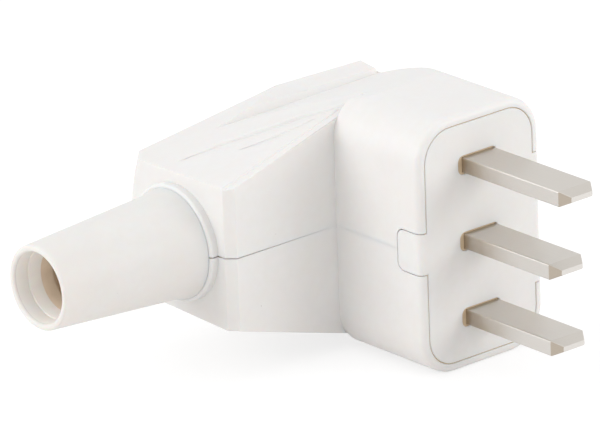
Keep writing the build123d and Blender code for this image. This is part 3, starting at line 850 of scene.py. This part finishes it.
class PLUG_OT_sleeve(bpy.types.Operator):
    """Finish the bend sleeve."""

    bl_idname = "plug.sleeve"
    bl_label = "Finish the bend sleeve"

    def execute(self, context):
        finish = context.scene.plug_finish
        soft = moulded_plastic("elastomer_sleeve_white", finish.sleeve_colour, 0.46, 0.004, 0.35)
        low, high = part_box("bend_sleeve")
        centre = (low + high) / 2
        end, inner_end = low.x, high.x
        neck = inner_end - 3.6 * MM
        flange = inner_end - 1.6 * MM
        step, bore, hollow = end + 3.2 * MM, end + 5.8 * MM, end + 8.5 * MM
        root_r, end_r = 10.4 * MM, 8.13 * MM
        lip = finish.sleeve_edge
        # the root flares a little, and closes the gap in the collar's bead
        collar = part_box("upper_housing")[0].x - 0.03 * MM
        flare = collar - 1.3 * MM
        flare_r = end_r + (root_r - end_r) * (flare - end) / (neck - end)
        points = (
            (inner_end, 8.0 * MM, 0),
            (inner_end, 10.8 * MM, 0.2 * MM),
            (flange, 10.8 * MM, 0.2 * MM),
            (flange, 8.8 * MM, 0),
            (neck, 8.8 * MM, 0),
            (neck, root_r, 0.1 * MM),
            (collar, root_r, 0),
            (collar, root_r + 0.35 * MM, 0.08 * MM),
            (flare, flare_r, 0),
            (end, end_r, lip),
            (end, 6.85 * MM, lip),
            (step, 6.78 * MM, 0),
            (step + 0.15 * MM, 6.95 * MM, 0),
            (step + 0.3 * MM, 6.72 * MM, 0),
            (bore, 6.05 * MM, 0),
            (hollow, 5.9 * MM, 0),
            (hollow, 6.9 * MM, 0),
        )
        piece = turned_piece("bend_sleeve_finished", rounded_profile(points), centre, 96)
        set_material(piece, soft)
        # behind its lip the mouth is painted whiter as painted light, and inside the bore it is painted brown as
        # painted shade
        piece.data.materials.append(moulded_plastic("elastomer_mouth_painted_light", linear("#FBFBF8"), 0.5, 0.004, 0.35))
        piece.data.materials.append(painted_shade_brown("elastomer_painted_shade_brown", "#F6E6D2", 0.6))
        for face in piece.data.polygons:
            reach = math.hypot(face.center.y - centre.y, face.center.z - centre.z)
            if reach < 7.5 * MM and face.center.x > bore:
                face.material_index = 2
            elif reach < 7.0 * MM and face.center.x > end + lip:
                face.material_index = 1
        stand_for(piece, "bend_sleeve")
        return {"FINISHED"}


class PLUG_OT_blades(bpy.types.Operator):
    """Give the blades their nickel plate."""

    bl_idname = "plug.blades"
    bl_label = "Finish the blades"

    def execute(self, context):
        nickel = nickel_plated_brass(
            "nickel_plated_brass",
            # the side, corner and root colours below are painted reflection and painted shade
            face_colour="#CDC8C1",
            side_reflection_colour="#D8D4CF",
            corner_shade_colour="#BAAFA1",
            root_reflection_colour="#B3A48F",
            roughness=0.3,
        )
        for pin in PINS:
            set_material(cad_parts[pin + "_blade"], nickel)
        return {"FINISHED"}


class PLUG_OT_terminals(bpy.types.Operator):
    """Finish the terminals on the blades' tails."""

    bl_idname = "plug.terminals"
    bl_label = "Finish the terminals"

    def execute(self, context):
        brass = turned_metal("brass_machined", "#D2AE62", "#A8834A", 0.32, 0.12)
        for pin in PINS:
            set_material(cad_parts[pin + "_terminal"], brass)
        return {"FINISHED"}


class PLUG_OT_screws(bpy.types.Operator):
    """Make the slotted screws, each where its CAD node is."""

    bl_idname = "plug.screws"
    bl_label = "Make the screws"

    def execute(self, context):
        sizes = context.scene.plug_fasteners
        steel = turned_metal("steel_zinc_plated", "#B9BABC", "#96938F", 0.3, 0.1)
        tree = slotted_screw_tree()
        # each kind's shank radius, head height and thread pitch, the axis of its shank and its turn from +Z
        kinds = {
            "terminal_screw": (2.0, 2.4, 0.7, Vector((0, -1, 0)), (math.pi / 2, 0, 0)),
            "clamp_screw": (1.5, 2.0, 0.5, Vector((0, 0, -1)), (math.pi, 0, 0)),
            "housing_screw": (1.75, 2.2, 0.6, Vector((0, 0, 1)), (0, 0, 0)),
        }
        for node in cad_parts:
            for kind, (shank_r, head_height, pitch, axis, turn) in kinds.items():
                if kind not in node:
                    continue
                low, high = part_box(node)
                centre = (low + high) / 2
                length = abs((high - low).dot(axis))
                across = Vector((1, 0, 0))
                values = {
                    "Shank Radius": shank_r * MM,
                    "Shank Length": length - head_height * MM,
                    "Head Radius": (high - low).dot(across) / 2,
                    "Head Height": head_height * MM,
                    "Slot Width": sizes.slot_width,
                    "Slot Depth": sizes.slot_depth,
                    "Thread Pitch": pitch * MM,
                    "Seat": centre + axis * (head_height * MM - length / 2),
                    "Turn": turn,
                    "Material": steel,
                }
                stand_for(grow(node + "_finished", tree, values), node)
        return {"FINISHED"}


class PLUG_OT_inserts(bpy.types.Operator):
    """Make the knurled brass inserts that the housing's screws turn in."""

    bl_idname = "plug.inserts"
    bl_label = "Make the inserts"

    def execute(self, context):
        sizes = context.scene.plug_fasteners
        brass = turned_metal("brass_turned", "#D2AE62", "#A8834A", 0.3, 0.1)
        tree = knurled_insert_tree()
        for node in [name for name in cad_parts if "insert" in name]:
            low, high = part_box(node)
            values = {
                "Outer Radius": (high.x - low.x) / 2,
                "Bore Radius": 1.8 * MM,
                "Length": high.z - low.z,
                "Knurl Height": sizes.knurl_height,
                "Knurls": sizes.knurls,
                "Seat": (low + high) / 2,
                "Turn": (0, 0, 0),
                "Material": brass,
            }
            stand_for(grow(node + "_finished", tree, values), node)
        return {"FINISHED"}


class PLUG_OT_clamp(bpy.types.Operator):
    """Finish the cord clamp."""

    bl_idname = "plug.clamp"
    bl_label = "Finish the cord clamp"

    def execute(self, context):
        nylon = moulded_plastic("nylon_moulded_natural", linear("#DAD4C6"), 0.5, 0.008, 0.3)
        set_material(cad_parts["cord_clamp"], nylon)
        return {"FINISHED"}


class PLUG_OT_stage(bpy.types.Operator):
    """Set the floor, the light and the photograph's camera."""

    bl_idname = "plug.stage"
    bl_label = "Set the stage"

    def execute(self, context):
        scene = context.scene
        stage = scene.plug_stage
        scene.view_settings.view_transform = "Standard"
        self.add_world(scene, stage)
        self.add_floor(scene)
        self.add_lamp(scene, "lamp_above", (-0.1, 0.1, 0.75), 0.9, stage.top_lamp)
        self.add_lamp(scene, "lamp_back_left", (-0.78, 0.33, 0.34), 0.6, stage.left_lamp)
        self.add_lamp(scene, "lamp_front_right", (0.5, -0.7, 0.35), 0.6, stage.front_lamp)
        self.add_camera(scene)
        return {"FINISHED"}

    def seen_in_view(self, tree):
        """One where the camera, a reflection or a ray through glass looks, and nought for the light itself."""
        path = add_node(tree, "ShaderNodeLightPath")
        straight = add_node(
            tree,
            "ShaderNodeMath",
            {"operation": "MAXIMUM"},
            {0: path.outputs["Is Camera Ray"], 1: path.outputs["Is Glossy Ray"]},
        )
        return add_node(
            tree,
            "ShaderNodeMath",
            {"operation": "MAXIMUM"},
            {0: straight.outputs[0], 1: path.outputs["Is Transmission Ray"]},
        )

    def add_world(self, scene, stage):
        """A white room, which the camera and the reflections see as pure white."""
        world = bpy.data.worlds.new("studio")
        world.use_nodes = True
        tree = world.node_tree
        tree.nodes.clear()
        seen = self.seen_in_view(tree)
        light = add_node(tree, "ShaderNodeBackground", {"Color": linear("#FFFFFF"), "Strength": stage.sky})
        white = add_node(tree, "ShaderNodeBackground", {"Color": linear("#FFFFFF"), "Strength": 1.0})
        mix = add_node(
            tree, "ShaderNodeMixShader", {}, {0: seen.outputs[0], 1: light.outputs[0], 2: white.outputs[0]}
        )
        add_node(tree, "ShaderNodeOutputWorld", {}, {"Surface": mix.outputs[0]})
        scene.world = world

    def add_floor(self, scene):
        """A pale floor under the plug that turns white in view and keeps the shadow."""
        half = 3.0
        # a hair under the plug, so that the two flat faces don't share a plane
        level = CAD_BOX[0][2] - 0.05 * MM
        mesh = bpy.data.meshes.new("floor")
        corners = [(-half, -half, level), (half, -half, level), (half, half, level), (-half, half, level)]
        mesh.from_pydata(corners, [], [(0, 1, 2, 3)])
        floor = bpy.data.objects.new("floor", mesh)
        scene.collection.objects.link(floor)
        material, tree, place = new_material("paper_white_matt")
        seen = self.seen_in_view(tree)
        fibre = add_node(tree, "ShaderNodeTexNoise", {"Scale": per_metre(2), "Detail": 2.0}, {"Vector": place})
        tone = add_node(
            tree,
            "ShaderNodeMix",
            {"data_type": "RGBA", 6: linear("#F3EFEC"), 7: linear("#F6F3F0")},
            {0: fibre.outputs["Fac"]},
        )
        paper = add_node(tree, "ShaderNodeBsdfDiffuse", {}, {"Color": tone.outputs[2]})
        pale = add_node(tree, "ShaderNodeBsdfDiffuse", {"Color": linear("#A0A0A0")})
        glow = add_node(tree, "ShaderNodeEmission", {"Color": linear("#FFFFFF"), "Strength": 0.72})
        white = add_node(tree, "ShaderNodeAddShader", {}, {0: pale.outputs[0], 1: glow.outputs[0]})
        mix = add_node(
            tree, "ShaderNodeMixShader", {}, {0: seen.outputs[0], 1: paper.outputs[0], 2: white.outputs[0]}
        )
        add_node(tree, "ShaderNodeOutputMaterial", {}, {"Surface": mix.outputs[0]})
        set_material(floor, material)

    def add_lamp(self, scene, name, place, size, power):
        """A large soft lamp that looks at the plug."""
        data = bpy.data.lights.new(name, "AREA")
        data.shape = "DISK"
        data.size = size
        data.energy = power
        lamp = bpy.data.objects.new(name, data)
        lamp.location = place
        lamp.rotation_euler = (Vector((-0.02, 0.02, 0)) - Vector(place)).to_track_quat("-Z", "Y").to_euler()
        scene.collection.objects.link(lamp)

    def add_camera(self, scene):
        """The photograph's viewpoint: far off, a little above, from the front left."""
        azimuth = math.radians(-40.096)
        elevation = math.radians(20.576)
        roll = math.radians(-2.071)
        distance = 1.5362
        across, up_shift = -0.033505, 0.00223
        focal_px = 8306.1
        picture_width = 600
        back = Vector(
            (
                math.sin(azimuth) * math.cos(elevation),
                -math.cos(azimuth) * math.cos(elevation),
                math.sin(elevation),
            )
        )
        right = (-back).cross(Vector((0, 0, 1))).normalized()
        up = right.cross(-back)
        right, up = (
            math.cos(roll) * right + math.sin(roll) * up,
            math.cos(roll) * up - math.sin(roll) * right,
        )
        data = bpy.data.cameras.new("camera")
        data.sensor_width = 36
        data.lens = focal_px / picture_width * data.sensor_width
        data.clip_start = 0.1
        data.clip_end = 20
        camera = bpy.data.objects.new("camera", data)
        turn = Matrix((right, up, back)).transposed().to_4x4()
        camera.matrix_world = Matrix.Translation(back * distance + right * across + up * up_shift) @ turn
        scene.collection.objects.link(camera)
        scene.camera = camera


class PLUG_PT_panel(bpy.types.Panel):
    """The plug's operators in the sidebar."""

    bl_idname = "PLUG_PT_panel"
    bl_label = "Cooker plug"
    bl_space_type = "VIEW_3D"
    bl_region_type = "UI"
    bl_category = "Plug"

    def draw(self, context):
        for operator in OPERATORS:
            self.layout.operator(operator.bl_idname)
        for name in PlugFinish.__annotations__:
            self.layout.prop(context.scene.plug_finish, name)
        for name in PlugFasteners.__annotations__:
            self.layout.prop(context.scene.plug_fasteners, name)
        for name in PlugStage.__annotations__:
            self.layout.prop(context.scene.plug_stage, name)


OPERATORS = (
    PLUG_OT_housing,
    PLUG_OT_carrier,
    PLUG_OT_sleeve,
    PLUG_OT_blades,
    PLUG_OT_terminals,
    PLUG_OT_screws,
    PLUG_OT_inserts,
    PLUG_OT_clamp,
    PLUG_OT_stage,
)


def register():
    for item in (PlugFinish, PlugFasteners, PlugStage, PLUG_PT_panel) + OPERATORS:
        bpy.utils.register_class(item)
    bpy.types.Scene.plug_finish = bpy.props.PointerProperty(type=PlugFinish)
    bpy.types.Scene.plug_fasteners = bpy.props.PointerProperty(type=PlugFasteners)
    bpy.types.Scene.plug_stage = bpy.props.PointerProperty(type=PlugStage)


def unregister():
    del bpy.types.Scene.plug_stage
    del bpy.types.Scene.plug_fasteners
    del bpy.types.Scene.plug_finish
    for item in reversed((PlugFinish, PlugFasteners, PlugStage, PLUG_PT_panel) + OPERATORS):
        bpy.utils.unregister_class(item)


def main():
    register()
    bpy.ops.plug.housing()
    bpy.ops.plug.carrier()
    bpy.ops.plug.sleeve()
    bpy.ops.plug.blades()
    bpy.ops.plug.terminals()
    bpy.ops.plug.screws()
    bpy.ops.plug.inserts()
    bpy.ops.plug.clamp()
    bpy.ops.plug.stage()


if __name__ == "__main__":
    main()
